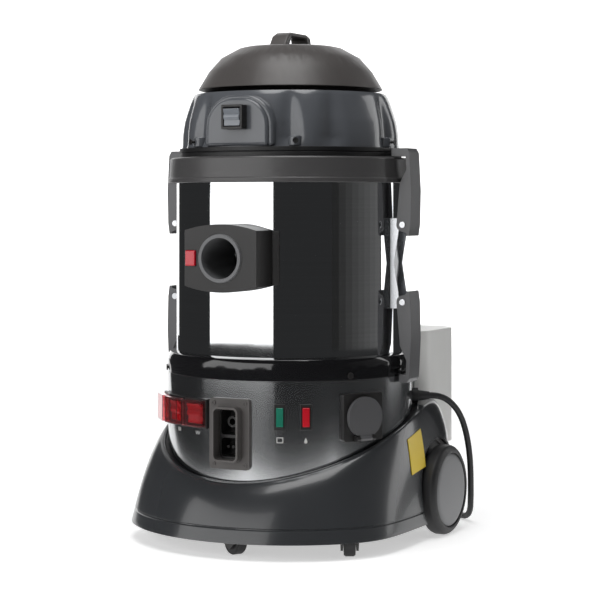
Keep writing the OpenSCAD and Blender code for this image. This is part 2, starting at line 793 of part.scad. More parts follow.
// the space inside the wall's outer face, kept a little inside it
module wall_inside(inset) {
    levels = [for (i = [0 : rows]) 1 - pow(1 - i / rows, 1.6)];
    rings = len(levels);
    points = [for (t = levels, i = [0 : columns - 1]) let (a = i * 360 / columns)
        spot(a, wall_r(a, t, inset), wall_z(a, t, inset))];
    polyhedron(
        points = concat(points, [[0, 0, base_low], [0, 0, crest_z(90) - inset]]),
        faces = concat(
            strip_faces(rings, columns, false),
            [for (i = [0 : columns - 1]) [rings * columns, i, (i + 1) % columns]],
            [for (i = [0 : columns - 1]) let (b = (rings - 1) * columns)
                [rings * columns + 1, b + (i + 1) % columns, b + i]]
        )
    );
}

// plan of the tank: a rounded block with a hollow front that clears the drum's ring
tank_front = 96;
tank_corner = 34;
tank_clear = 7;
module tank_plan(grow) {
    depth = tank_rear - tank_front;
    difference() {
        translate([0, tank_front + depth / 2])
            plate_shape(2 * tank_half_w + 2 * grow, depth + 2 * grow, tank_corner + grow);
        circle(r = rim_r + tank_clear - grow);
    }
}
module at_wheel(side) { translate([side * wheel_out, axle_y, wheel_r]) rotate([0, -90 * side, 0]) children(); }

pocket_gap = 2;
sleeve_r = housing_r + 1;
module base_shell() {
    color("#404447") on_axis() difference() {
        union() {
            wall_sweep();
            intersection() {
                wall_inside(1.5);
                union() {
                    for (side = [-1, 1]) at_wheel(side) difference() {
                        cylinder(r = well_r + 3, h = wheel_out - well_in + 3);
                        translate([0, 0, -1]) cylinder(r = axle_r + fit_gap, h = 200);
                    }
                    difference() {
                        translate([0, 0, tank_low - 4]) linear_extrude(200) tank_plan(pocket_gap + 3);
                        cylinder(r = lip_r + 0.5, h = 600);
                    }
                }
            }
        }
        for (side = [-1, 1]) at_wheel(side) translate([0, 0, -60])
            cylinder(r = well_r, h = 60 + wheel_out - well_in);
        translate([0, 0, tank_low]) linear_extrude(200) tank_plan(pocket_gap);
    }
}

// the floor under the housing, with the posts that the casters turn in
caster_pin_r = 4;
post_top = 64;
module floor_pan() {
    color("#2c2e30") on_axis() difference() {
        union() {
            translate([0, 0, floor_z]) linear_extrude(pan_t) intersection() {
                circle(r = floor_r);
                square(2 * floor_half, center = true);
            }
            for (s = caster_spots) translate([s[0], s[1], floor_z]) cylinder(r = 8, h = post_top - floor_z);
        }
        for (side = [-1, 1]) at_wheel(side) translate([0, 0, -1]) cylinder(r = well_r + 4, h = 60);
        // a way through for the axle, where it lies low
        translate([0, axle_y, wheel_r]) rotate([0, 90, 0]) cylinder(r = axle_r + 2, h = 3 * floor_half, center = true);
        for (s = caster_spots) translate([s[0], s[1], 0]) cylinder(r = caster_pin_r + run_gap, h = post_top - 6);
    }
}

gasket_h = 5;
module base_gasket() {
    n = 4;
    function gasket_section(a) = let (z = crest_z(a) - crest_rise) [
        spot(a, lip_r - fit_gap, z), spot(a, housing_r + fit_gap, z),
        spot(a, housing_r + fit_gap, z + gasket_h), spot(a, lip_r - fit_gap, z + gasket_h)
    ];
    color("#0e0e0f") on_axis() polyhedron(
        points = [for (i = [0 : columns - 1]) each gasket_section(i * 360 / columns)],
        faces = strip_faces(columns, n, true)
    );
}

// a blank sticker on the base's right side
label_angle = 93;
label_w = 42;
label_h = 46;
label_low = 90;
module label_plate() {
    steps = 8;
    t_at = function (z) (z - base_low) / (crest_z(label_angle) - base_low);
    function face(u, v, proud) =
        let (a = label_angle + (u - 0.5) * label_w / 3.1, t = t_at(label_low + v * label_h))
            spot(a, wall_r(a, t, 0) + proud, wall_z(a, t, 0));
    function label_section(u) = [
        for (k = [0 : steps]) face(u, k / steps, 0.5),
        for (k = [steps : -1 : 0]) face(u, k / steps, 1.1)
    ];
    n = 2 * steps + 2;
    color("#e3c93c") on_axis() polyhedron(
        points = [for (i = [0 : steps]) each label_section(i / steps)],
        faces = concat(
            strip_faces(steps + 1, n, false),
            [[for (j = [0 : n - 1]) j]],
            [[for (j = [n - 1 : -1 : 0]) steps * n + j]]
        )
    );
}

// ---------- wheels and casters ----------

// the hub follows the wheel, and leaves this much for the tyre
tyre_band = 10.5;
hub_r = wheel_r - tyre_band;
module tyre(side) {
    color("#1c1c1e") on_axis() at_wheel(side) rotate_extrude() polygon([
        [hub_r, 0.5], [wheel_r - 7, 0.5], [wheel_r - 1.5, 4], [wheel_r, 8], [wheel_r, wheel_w - 8],
        [wheel_r - 1.5, wheel_w - 4], [wheel_r - 7, wheel_w], [hub_r - 5, wheel_w], [hub_r - 5, wheel_w - 5],
        [hub_r, wheel_w - 5]
    ]);
}
module tyre_right() { tyre(1); }
module tyre_left() { tyre(-1); }

module wheel_hub(side) {
    color("#77797c") on_axis() at_wheel(side) difference() {
        rotate_extrude() polygon([
            [0, 0], [hub_r - 8, 0], [hub_r - 3, 1], [hub_r, 3], [hub_r, wheel_w - 5], [hub_r - 4, wheel_w - 5],
            [hub_r - 4, 5], [14, 4], [14, wheel_w], [0, wheel_w]
        ]);
        translate([0, 0, 6]) cylinder(r = axle_r + run_gap, h = wheel_w);
    }
}
module wheel_hub_right() { wheel_hub(1); }
module wheel_hub_left() { wheel_hub(-1); }

module rear_axle() {
    color("#a5a8ab") on_axis() translate([0, axle_y, wheel_r]) rotate([0, 90, 0])
        cylinder(r = axle_r, h = 2 * (wheel_out - 6.5), center = true);
}

// casters: a hood on a pin, with the wheel trailing behind the pin
hood_wall = 3;
caster_w = 14;
caster_axle_r = 2.5;
module at_caster(i) {
    spot_i = caster_spots[i];
    translate([spot_i[0], spot_i[1], 0]) rotate([0, 0, spot_i[2]]) children();
}
module caster_fork(i) {
    half = caster_w / 2 + 1 + hood_wall;
    top = floor_z - 1;
    color("#222325") on_axis() at_caster(i) difference() {
        union() {
            translate([0, 0, top - 6]) cylinder(r = caster_pin_r, h = post_top - top);
            translate([0, half, 0]) rotate([90, 0, 0]) linear_extrude(2 * half) polygon([
                [-11, top], [-11, top - 8], [caster_trail - 9, 12], [caster_trail + 4, 7],
                [caster_trail + 14, 16], [caster_trail + 15, 22], [caster_trail + 8, top]
            ]);
        }
        translate([caster_trail, 0, caster_r]) rotate([90, 0, 0])
            cylinder(r = caster_r + 1.5, h = caster_w + 2, center = true);
        translate([caster_trail, 0, caster_r]) rotate([90, 0, 0])
            cylinder(r = caster_axle_r, h = 60, center = true);
    }
}
module caster_wheel(i) {
    color("#151516") on_axis() at_caster(i) translate([caster_trail, 0, caster_r]) rotate([90, 0, 0]) {
        cylinder(r = caster_r - 1, h = caster_w, center = true);
        cylinder(r = caster_r, h = caster_w - 3, center = true);
        cylinder(r = caster_axle_r - run_gap, h = caster_w + 2 + 2 * hood_wall, center = true);
    }
}
module caster_fork_front() { caster_fork(0); }
module caster_fork_right() { caster_fork(1); }
module caster_fork_left() { caster_fork(2); }
module caster_wheel_front() { caster_wheel(0); }
module caster_wheel_right() { caster_wheel(1); }
module caster_wheel_left() { caster_wheel(2); }

// ---------- water tank ----------

tank_wall = 2.5;
tank_top = tank_low + tank_h;
module water_tank() {
    color([0.9, 0.9, 0.88, 0.9]) on_axis() difference() {
        union() {
            translate([0, 0, tank_low]) linear_extrude(tank_h) tank_plan(0);
            translate([cap_at[0], cap_at[1], tank_top - eps]) cylinder(r = neck_r, h = 14);
        }
        translate([0, 0, tank_low + tank_wall]) linear_extrude(tank_h - 2 * tank_wall) tank_plan(-tank_wall);
        translate([cap_at[0], cap_at[1], tank_top - 10]) cylinder(r = neck_r - 3, h = 40);
    }
}

cap_r = 25;
module tank_cap() {
    color("#1a1a1b") on_axis() translate([cap_at[0], cap_at[1], tank_top + 1]) difference() {
        union() {
            cylinder(r = cap_r - 1.5, h = 18);
            for (a = [0 : 20 : 340]) rotate([0, 0, a]) translate([cap_r - 3, 0, 0]) cylinder(r = 3, h = 16);
        }
        translate([0, 0, -1]) cylinder(r = neck_r + run_gap, h = 15);
    }
}

// ---------- mains cord ----------

cord_sides = 10;
function unit(v) = v / norm(v);
// direction of travel at one point of the route
function heading(p, i) = unit(p[min(i + 1, len(p) - 1)] - p[max(i - 1, 0)]);
// the rings keep one seam: this direction is never along the route
seam = [0.5, -0.6, 0.62];
function cord_ring(c, dir) =
    let (side = unit(cross(dir, seam)), up = cross(side, dir))
        [for (k = [0 : cord_sides - 1]) let (a = -k * 360 / cord_sides) c + cord_r * (cos(a) * side + sin(a) * up)];
// a smooth curve through the route's points, with a few rings between each two
between = 3;
function curve_point(p, i, t) =
    let (a = p[max(i - 1, 0)], b = p[i], c = p[i + 1], d = p[min(i + 2, len(p) - 1)])
        0.5 * (2 * b + (c - a) * t + (2 * a - 5 * b + 4 * c - d) * t * t + (3 * b - a - 3 * c + d) * t * t * t);
function gland_end(reach) = [(housing_r + reach) * sin(gland_angle), -(housing_r + reach) * cos(gland_angle), gland_z];
module cord() {
    p = concat([gland_end(gland_reach - 18), gland_end(gland_reach - 8)], cord_route);
    path = concat(
        [for (i = [0 : len(p) - 2], k = [0 : between - 1]) curve_point(p, i, k / between)],
        [p[len(p) - 1]]
    );
    n = len(path);
    color("#121213") on_axis() polyhedron(
        points = [for (i = [0 : n - 1]) each cord_ring(path[i], heading(path, i))],
        faces = concat(
            strip_faces(n, cord_sides, false),
            [[for (j = [0 : cord_sides - 1]) j]],
            [[for (j = [cord_sides - 1 : -1 : 0]) (n - 1) * cord_sides + j]]
        )
    );
}

module cord_coil() {
    color("#121213") on_axis() translate([coil_at[0], coil_at[1], 0]) rotate_extrude()
        translate([coil_r - coil_half, 0]) square([2 * coil_half, coil_h]);
}

// a two-pin plug that lies beside the coil
plug_r = 18;
module plug() {
    color("#141415") on_axis() translate([coil_at[0] - coil_r - coil_half, coil_at[1] - 6, plug_r])
        rotate([0, -90, 0]) {
            cylinder(r1 = cord_r + 1, r2 = 8, h = 14);
            translate([0, 0, 14]) cylinder(r1 = 13, r2 = plug_r, h = 14);
            translate([0, 0, 28]) cylinder(r = plug_r, h = 12);
            for (y = [-9.5, 9.5]) translate([0, y, 40]) cylinder(r = 2.4, h = plug_len - 40);
        }
}

top_cover();
carry_handle();
motor_housing();
head_switch_frame();
head_rocker();
head_seal();
head_rim();
vacuum_motor();
float_cage();
float_ball();
cartridge_filter();
case_screws();
drum();
inlet_flange();
inlet_body();
inlet_ring();
inlet_button();
latch_brackets();
latch_rivets();
latch_upper_right();
latch_upper_left();
latch_lower_right();
latch_lower_left();
drum_ring();
boiler_housing();
switch_panel();
rocker_1();
rocker_2();
rocker_3();
switch_covers();
steam_socket_plate();
steam_socket_core();
lamp_bezels();
lamp_green();
lamp_red();
outlet_flange();
outlet_lid();
cable_gland();
boiler();
water_pump();
base_shell();
floor_pan();
base_gasket();
label_plate();
tyre_right();
tyre_left();
wheel_hub_right();
wheel_hub_left();
rear_axle();
caster_fork_front();
caster_fork_right();
caster_fork_left();
caster_wheel_front();
caster_wheel_right();
caster_wheel_left();
water_tank();
tank_cap();
cord();
cord_coil();
plug();
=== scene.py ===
import bpy, bmesh, json, math
from mathutils import Vector, Matrix


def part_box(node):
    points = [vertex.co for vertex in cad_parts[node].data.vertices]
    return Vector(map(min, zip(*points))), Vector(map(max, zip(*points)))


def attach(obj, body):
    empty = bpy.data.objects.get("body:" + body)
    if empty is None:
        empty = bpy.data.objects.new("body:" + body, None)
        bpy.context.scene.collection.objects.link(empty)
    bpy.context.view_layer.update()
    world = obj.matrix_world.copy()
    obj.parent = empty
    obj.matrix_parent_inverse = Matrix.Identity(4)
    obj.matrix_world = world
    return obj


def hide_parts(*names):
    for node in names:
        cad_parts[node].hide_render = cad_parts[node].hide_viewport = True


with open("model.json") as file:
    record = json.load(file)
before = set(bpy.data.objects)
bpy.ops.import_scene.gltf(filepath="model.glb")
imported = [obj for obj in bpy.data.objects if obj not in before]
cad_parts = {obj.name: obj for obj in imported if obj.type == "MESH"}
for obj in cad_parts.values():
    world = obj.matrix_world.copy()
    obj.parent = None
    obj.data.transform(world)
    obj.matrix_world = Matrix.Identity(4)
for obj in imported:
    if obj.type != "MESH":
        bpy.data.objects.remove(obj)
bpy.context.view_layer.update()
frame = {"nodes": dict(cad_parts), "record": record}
NODES = frame["nodes"]
MM = 0.001

# the drum's upright axis, worked out from the drum itself
drum_lo, drum_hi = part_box("drum")
AXIS = Vector((0, (drum_lo.y + drum_hi.y) / 2, 0))


def on_body(angle, radius, z):
    """A point by its angle from the front towards +X, distance from the axis and height (mm)."""
    a = math.radians(angle)
    return AXIS + Vector((radius * math.sin(a), -radius * math.cos(a), z)) * MM


# ---------- camera ----------
VIEW_AZIMUTH = 27.7
VIEW_DISTANCE = 2.405
VIEW_HEIGHT = 0.429
cam_data = bpy.data.cameras.new("camera")
cam_data.lens = 111
cam_data.sensor_width = 36
cam_data.shift_x = 0.0157
cam_data.shift_y = -0.164
cam = bpy.data.objects.new("camera", cam_data)
bpy.context.scene.collection.objects.link(cam)
cam.location = on_body(VIEW_AZIMUTH, VIEW_DISTANCE / MM, VIEW_HEIGHT / MM)
cam.rotation_euler = (math.radians(90), 0, math.radians(VIEW_AZIMUTH))
bpy.context.scene.camera = cam


# ---------- materials ----------
def new_material(name):
    mat = bpy.data.materials.new(name)
    mat.use_nodes = True
    tree = mat.node_tree
    return mat, tree.nodes, tree.links, tree.nodes["Principled BSDF"]


def coords(nodes, links, scale):
    """Object coordinates stretched by a scale along each axis."""
    tex = nodes.new("ShaderNodeTexCoord")
    mapping = nodes.new("ShaderNodeMapping")
    mapping.inputs["Scale"].default_value = scale
    links.new(tex.outputs["Object"], mapping.inputs["Vector"])
    return mapping.outputs["Vector"]


def noise_tex(nodes, links, vector, scale, detail=3.0, rough=0.5):
    tex = nodes.new("ShaderNodeTexNoise")
    tex.inputs["Scale"].default_value = scale
    tex.inputs["Detail"].default_value = detail
    tex.inputs["Roughness"].default_value = rough
    links.new(vector, tex.inputs["Vector"])
    return tex.outputs["Fac"]


def spread(nodes, links, value, low, high):
    """Maps a 0.3 to 0.7 noise to a range."""
    ramp = nodes.new("ShaderNodeMapRange")
    ramp.inputs["From Min"].default_value = 0.3
    ramp.inputs["From Max"].default_value = 0.7
    ramp.inputs["To Min"].default_value = low
    ramp.inputs["To Max"].default_value = high
    links.new(value, ramp.inputs["Value"])
    return ramp.outputs["Result"]


def tint(nodes, links, value, dark, light):
    mix = nodes.new("ShaderNodeMix")
    mix.data_type = "RGBA"
    mix.inputs["A"].default_value = (*dark, 1)
    mix.inputs["B"].default_value = (*light, 1)
    links.new(value, mix.inputs["Factor"])
    return mix.outputs["Result"]


def bump(nodes, links, height, shader, strength, distance):
    node = nodes.new("ShaderNodeBump")
    node.inputs["Strength"].default_value = strength
    node.inputs["Distance"].default_value = distance
    links.new(height, node.inputs["Height"])
    links.new(node.outputs["Normal"], shader.inputs["Normal"])


def scaled(color, k):
    return tuple(min(1.0, c * k) for c in color)


def plastic(name, color, rough=0.35, grain=0.15, coat=0.0, grain_scale=900):
    """Moulded plastic: a fine moulded grain, slow patches of gloss and a little wear on the colour."""
    mat, nodes, links, bsdf = new_material(name)
    vec = coords(nodes, links, (1, 1, 1))
    slow = noise_tex(nodes, links, vec, 9, 4)
    fine = noise_tex(nodes, links, vec, grain_scale, 2)
    links.new(tint(nodes, links, slow, scaled(color, 0.88), scaled(color, 1.12)), bsdf.inputs["Base Color"])
    links.new(spread(nodes, links, slow, rough * 0.85, rough * 1.2), bsdf.inputs["Roughness"])
    bump(nodes, links, fine, bsdf, grain, 0.0003)
    bsdf.inputs["Coat Weight"].default_value = coat
    bsdf.inputs["Coat Roughness"].default_value = 0.08
    bsdf.inputs["Specular IOR Level"].default_value = 0.5
    return mat


def steel(name, color, rough, lines, line_strength):
    """Stainless sheet: fine lines round the body, from rolling and polishing."""
    mat, nodes, links, bsdf = new_material(name)
    bsdf.inputs["Metallic"].default_value = 1.0
    vec = coords(nodes, links, (1, 1, lines))
    streak = noise_tex(nodes, links, vec, 6, 6, 0.65)
    slow = noise_tex(nodes, links, coords(nodes, links, (1, 1, 1)), 5, 3)
    links.new(tint(nodes, links, streak, scaled(color, 0.9), scaled(color, 1.08)), bsdf.inputs["Base Color"])
    links.new(spread(nodes, links, slow, rough * 0.8, rough * 1.25), bsdf.inputs["Roughness"])
    bump(nodes, links, streak, bsdf, line_strength, 0.0002)
    return mat


def rubber(name, color, rough=0.6):
    mat, nodes, links, bsdf = new_material(name)
    vec = coords(nodes, links, (1, 1, 1))
    slow = noise_tex(nodes, links, vec, 22, 4)
    fine = noise_tex(nodes, links, vec, 1400, 2)
    links.new(tint(nodes, links, slow, scaled(color, 0.8), scaled(color, 1.3)), bsdf.inputs["Base Color"])
    links.new(spread(nodes, links, slow, rough - 0.08, rough + 0.1), bsdf.inputs["Roughness"])
    bump(nodes, links, fine, bsdf, 0.25, 0.0002)
    return mat


def lens_plastic(name, color, clear=0.0, rough=0.12):
    """Tinted plastic that lets some light through."""
    mat, nodes, links, bsdf = new_material(name)
    vec = coords(nodes, links, (1, 1, 1))
    slow = noise_tex(nodes, links, vec, 60, 3)
    links.new(tint(nodes, links, slow, scaled(color, 0.85), scaled(color, 1.15)), bsdf.inputs["Base Color"])
    links.new(spread(nodes, links, slow, rough * 0.7, rough * 1.4), bsdf.inputs["Roughness"])
    bsdf.inputs["Transmission Weight"].default_value = clear
    bsdf.inputs["IOR"].default_value = 1.46
    bsdf.inputs["Coat Weight"].default_value = 0.5
    return mat


MATS = {
    "cover_plastic": plastic("cover_plastic", (0.088, 0.081, 0.078), 0.36, 0.25),
    "gloss_grey_plastic": plastic("gloss_grey_plastic", (0.115, 0.122, 0.135), 0.24, 0.06, 0.5),
    "black_plastic": plastic("black_plastic", (0.018, 0.017, 0.017), 0.33, 0.2),
    "gloss_black": plastic("gloss_black", (0.008, 0.008, 0.009), 0.1, 0.03, 0.7),
    "rubber": rubber("rubber", (0.012, 0.012, 0.013), 0.5),
    "mirror_steel": steel("mirror_steel", (0.74, 0.75, 0.76), 0.035, 60, 0.0),
    "brushed_steel": steel("brushed_steel", (0.6, 0.61, 0.62), 0.14, 90, 0.0),
    "plain_steel": steel("plain_steel", (0.66, 0.67, 0.69), 0.25, 30, 0.08),
    "latch_grey": plastic("latch_grey", (0.1, 0.1, 0.104), 0.3, 0.12, 0.2),
    "rim_grey": plastic("rim_grey", (0.085, 0.083, 0.084), 0.33, 0.2),
    "red_plastic": plastic("red_plastic", (0.62, 0.012, 0.03), 0.18, 0.04, 0.6),
    "clear_plastic": lens_plastic("clear_plastic", (0.95, 0.4, 0.42), 0.97, 0.05),
    "green_lens": lens_plastic("green_lens", (0.02, 0.2, 0.13), 0.1, 0.15),
    "red_lens": lens_plastic("red_lens", (0.6, 0.012, 0.025), 0.1, 0.15),
    "grey_rocker": plastic("grey_rocker", (0.26, 0.28, 0.31), 0.25, 0.05, 0.3),
    "base_plastic": plastic("base_plastic", (0.036, 0.038, 0.041), 0.22, 0.05, 0.35),
    "label_yellow": plastic("label_yellow", (0.8, 0.58, 0.045), 0.4, 0.1),
    "hub_grey": plastic("hub_grey", (0.17, 0.172, 0.178), 0.36, 0.2),
    "tank_white": plastic("tank_white", (0.86, 0.86, 0.84), 0.35, 0.1),
    "filter_paper": plastic("filter_paper", (0.7, 0.68, 0.6), 0.8, 0.5),
    "float_plastic": plastic("float_plastic", (0.75, 0.73, 0.66), 0.4, 0.1),
    "motor_metal": steel("motor_metal", (0.5, 0.51, 0.52), 0.35, 8, 0.2),
}
NODE_SLOT = {s["node"]: s["material_slot"] for s in frame["record"]["subparts"]}
for node, obj in NODES.items():
    obj.data.materials.clear()
    obj.data.materials.append(MATS[NODE_SLOT[node]])


# ---------- making pieces ----------
def body_of_node(node):
    for body, members in frame["record"]["behaviour"]["bodies"].items():
        if node in members:
            return body


def make(name, verts, faces):
    mesh = bpy.data.meshes.new(name)
    mesh.from_pydata([tuple(v) for v in verts], [], faces)
    mesh.validate()
    obj = bpy.data.objects.new(name, mesh)
    bpy.context.scene.collection.objects.link(obj)
    for poly in mesh.polygons:
        poly.use_smooth = True
    return obj


def stand_for(obj, node):
    """The piece takes a CAD node's place, body and finish."""
    slot = NODE_SLOT[node]
    obj.data.materials.append(MATS[slot])
    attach(obj, body_of_node(node))
    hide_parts(node)
    return obj


def apply_modifiers(obj):
    bpy.context.view_layer.objects.active = obj
    for mod in list(obj.modifiers):
        with bpy.context.temp_override(object=obj, active_object=obj, selected_objects=[obj]):
            bpy.ops.object.modifier_apply(modifier=mod.name)


def shade_by_angle(obj, angle=30):
    bm = bmesh.new()
    bm.from_mesh(obj.data)
    for face in bm.faces:
        face.smooth = True
    for edge in bm.edges:
        sharp = len(edge.link_faces) == 2 and edge.calc_face_angle(0) > math.radians(angle)
        edge.smooth = not sharp
    bm.to_mesh(obj.data)
    bm.free()
    # broad faces keep their own direction and the narrow rounded edges turn between them
    mod = obj.modifiers.new("even", "WEIGHTED_NORMAL")
    mod.keep_sharp = True
    mod.weight = 90
    apply_modifiers(obj)


def bevelled(obj, width, segments=3, angle=40):
    """Rounds over the edges sharper than an angle; width is in mm."""
    mod = obj.modifiers.new("edge", "BEVEL")
    mod.width = width * MM
    mod.segments = segments
    mod.limit_method = "ANGLE"
    mod.angle_limit = math.radians(angle)
    mod.harden_normals = False
    apply_modifiers(obj)
    shade_by_angle(obj, 40)
    return obj


def soften(node, width):
    """A copy of a CAD node with its flat faces joined up and its edges rounded over."""
    obj = bpy.data.objects.new(node + "_form", NODES[node].data.copy())
    obj.data.materials.clear()
    bpy.context.scene.collection.objects.link(obj)
    bm = bmesh.new()
    bm.from_mesh(obj.data)
    bmesh.ops.remove_doubles(bm, verts=bm.verts, dist=2e-5)
    bmesh.ops.dissolve_limit(bm, angle_limit=math.radians(0.6), verts=bm.verts, edges=bm.edges)
    bm.to_mesh(obj.data)
    bm.free()
    return stand_for(bevelled(obj, width, angle=35), node)


# ---------- cord ----------
CORD_R = 4.0
cord_points = [
    (163, 87, 177), (170, 93, 175.5), (177, 101, 171), (183, 111, 162), (187, 122, 149), (189, 132, 133),
    (190, 140, 115), (190, 147, 95), (189, 153, 74), (187, 159, 53), (184, 166, 33), (179, 175, 16),
    (170, 186, 7), (157, 198, 4.3), (140, 210, 4.1), (120, 221, 4.1), (98, 230, 4.1), (74, 238, 4.1),
    (52, 246, 4.1), (36, 258, 4.1), (27, 274, 4.1), (24, 290, 4.1)
]
coil_lo, coil_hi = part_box("cord_coil")
coil_centre = Vector(((coil_lo.x + coil_hi.x) / 2, (coil_lo.y + coil_hi.y) / 2, 0))
coil_outer = (coil_hi.x - coil_lo.x) / 2 / MM
HOUSING_R = 158.5
gland_exit = on_body(118, HOUSING_R + 21, 177)


def coil_path():
    """Turns side by side from the outside in, then the next layer from the inside out."""
    step = 2 * CORD_R
    radii = [coil_outer - CORD_R - 0.1 - k * step for k in range(3)]
    layers = [CORD_R + 0.1 + k * (step - 0.15) for k in range(4)]
    turns = [(r, z) for i, z in enumerate(layers) for r in (radii if i % 2 == 0 else radii[::-1])]
    per_turn = 24
    points = []
    for i, (r, z) in enumerate(turns):
        nr, nz = turns[i + 1] if i + 1 < len(turns) else (r, z)
        last = i + 1 == len(turns)
        for k in range(per_turn if not last else per_turn // 2 + 1):
            t = k / per_turn
            ease = max(0.0, (t - 0.8) / 0.2)
            ease = ease * ease * (3 - 2 * ease)
            a = 2 * math.pi * t
            rr, zz = r + (nr - r) * ease, z + (nz - z) * ease
            points.append(coil_centre + Vector((math.cos(a) * rr, math.sin(a) * rr, zz)) * MM)
    return points


cord_path = [gland_exit] + [AXIS + Vector(p) * MM for p in cord_points] + coil_path()
curve = bpy.data.curves.new("mains_cord", "CURVE")
curve.dimensions = "3D"
curve.bevel_depth = CORD_R * MM
curve.bevel_resolution = 5
curve.use_fill_caps = True
spline = curve.splines.new("BEZIER")
spline.bezier_points.add(len(cord_path) - 1)
for point, place in zip(spline.bezier_points, cord_path):
    point.co = place
    point.handle_left_type = point.handle_right_type = "AUTO"
cord = bpy.data.objects.new("mains_cord", curve)
bpy.context.scene.collection.objects.link(cord)
curve.materials.append(MATS["rubber"])
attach(cord, "machine")
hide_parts("cord", "cord_coil")


# ---------- base ----------
base_lo, base_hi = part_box("base_shell")
hub_lo, hub_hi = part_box("tyre_right")
BASE_FRONT = (AXIS.y - base_lo.y) / MM
BASE_REAR = (base_hi.y - AXIS.y) / MM
BASE_SIDE = base_hi.x / MM
BASE_LOW = base_lo.z / MM
FRONT_HALF = 184.0
LIP_R = 162.0
CREST_R = 165.5
CREST_RISE = 8.0
GROOVE_Z = 37.0
WHEEL_R = (hub_hi.y - hub_lo.y) / 2 / MM
WHEEL_Y = ((hub_hi.y + hub_lo.y) / 2 - AXIS.y) / MM
WHEEL_OUT = hub_hi.x / MM
WELL_R = WHEEL_R + 8


def edge_reach(a):
    s, c = abs(math.sin(a)), math.cos(a)
    front = ((1 / BASE_FRONT) ** 20 + (s / FRONT_HALF) ** 20) ** (-1 / 20)
    rear = ((s / BASE_SIDE) ** 5 + (abs(c) / BASE_REAR) ** 5) ** (-1 / 5)
    return front if c >= 0 else rear


def lip_z(y):
    return 141.1 + 0.278 * y - 0.0006 * y * y


def wall_point(a, t):
    """A point of the base's outer face: a from the front, t from 0 at the lower edge to 1 at the crest."""
    behind = max(0.0, min(1.0, (math.degrees(math.acos(math.cos(a))) - 90) / 40))
    full = 0.55 - 0.35 * behind * behind * (3 - 2 * behind)
    r = CREST_R + (edge_reach(a) - CREST_R) * (1 - t) ** full
    crest = lip_z(-CREST_R * math.cos(a)) + CREST_RISE
    z = BASE_LOW + (crest - BASE_LOW) * t
    return r, z


def base_section(a, rows):
    """Up the outside over a groove, round the lip and down the inside; every column has as many points."""
    crest = wall_point(a, 1)[1]

    def at_height(z, depth=0.0):
        r, _ = wall_point(a, (z - BASE_LOW) / (crest - BASE_LOW))
        return r - depth, z

    foot_r = wall_point(a, 0)[0]
    out = [(foot_r - 0.3, BASE_LOW + 0.4)] + [at_height(z) for z in (22, 25, 29, 33, GROOVE_Z - 1.6)]
    out += [at_height(GROOVE_Z - 0.5, 1.6), at_height(GROOVE_Z + 0.5, 1.6)]
    start = (GROOVE_Z + 1.6 - BASE_LOW) / (crest - BASE_LOW)
    for i in range(rows + 1):
        out.append(wall_point(a, start + (1 - start) * (1 - (1 - i / rows) ** 1.8)))
    lip = [(CREST_R - 0.4, crest + 0.5), (CREST_R - 1.4, crest + 0.6), (LIP_R + 0.9, crest),
           (LIP_R + 0.2, crest - 1.5), (LIP_R, crest - 4), (LIP_R, crest - 14)]
    inner = []
    for t in (0.8, 0.6, 0.4, 0.2, 0.05):
        r, z = wall_point(a, t)
        inner.append((max(LIP_R + 1, r - 4), z - 4 * t ** 3))
    return out + lip + inner + [(foot_r - 3.6, BASE_LOW), (foot_r - 1.0, BASE_LOW)]


def ring_sweep(name, section, columns):
    verts, faces = [], []
    for i in range(columns):
        a = 2 * math.pi * i / columns
        verts += [AXIS + Vector((r * math.sin(a), -r * math.cos(a), z)) * MM for r, z in section(a)]
    n = len(verts) // columns
    for i in range(columns):
        j = (i + 1) % columns
        for k in range(n):
            m = (k + 1) % n
            faces.append((i * n + k, i * n + m, j * n + m, j * n + k))
    return make(name, verts, faces)


def fix_normals(obj):
    bm = bmesh.new()
    bm.from_mesh(obj.data)
    bmesh.ops.recalc_face_normals(bm, faces=bm.faces)
    bm.to_mesh(obj.data)
    bm.free()


def x_cylinder(name, r, x0, x1, y, z, sides=96):
    verts, faces = [], []
    for x in (x0, x1):
        for k in range(sides):
            a = 2 * math.pi * k / sides
            verts.append(AXIS + Vector((x, y + r * math.cos(a), z + r * math.sin(a))) * MM)
    for k in range(sides):
        j = (k + 1) % sides
        faces.append((k, j, sides + j, sides + k))
    faces.append(tuple(range(sides - 1, -1, -1)))
    faces.append(tuple(range(sides, 2 * sides)))
    obj = make(name, verts, faces)
    fix_normals(obj)
    return obj


def tank_outline(grow, points_per_corner=10):
    """Plan of the tank: a rounded block whose front is hollowed to clear the drum's ring."""
    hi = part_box("water_tank")[1]
    half = hi.x / MM + grow
    rear = (hi.y - AXIS.y) / MM + grow
    hollow = 158.7 + 7 - grow
    corner = 34 + grow
    front = 96 - grow
    pts = []
    # rear corners, then the front ends and the hollow arc
    for cx, cy, a0 in ((half - corner, rear - corner, 0), (-half + corner, rear - corner, 90)):
        for k in range(points_per_corner + 1):
            a = math.radians(a0 + 90 * k / points_per_corner)
            pts.append((cx + corner * math.cos(a), cy + corner * math.sin(a)))
    a_start = math.atan2(front, -half)
    a_end = math.pi - a_start
    steps = 36
    for k in range(steps + 1):
        a = a_start + (a_end - a_start) * k / steps
        pts.append((hollow * math.cos(a), hollow * math.sin(a)))
    return pts


def prism(name, outline, z0, z1):
    n = len(outline)
    verts = [AXIS + Vector((x, y, z)) * MM for z in (z0, z1) for x, y in outline]
    faces = [(k, (k + 1) % n, n + (k + 1) % n, n + k) for k in range(n)]
    faces += [tuple(range(n - 1, -1, -1)), tuple(range(n, 2 * n))]
    obj = make(name, verts, faces)
    fix_normals(obj)
    return obj


def cut(obj, *cutters):
    for cutter in cutters:
        mod = obj.modifiers.new("cut", "BOOLEAN")
        mod.operation = "DIFFERENCE"
        mod.object = cutter
        mod.solver = "EXACT"
    apply_modifiers(obj)
    for cutter in cutters:
        bpy.data.objects.remove(cutter)


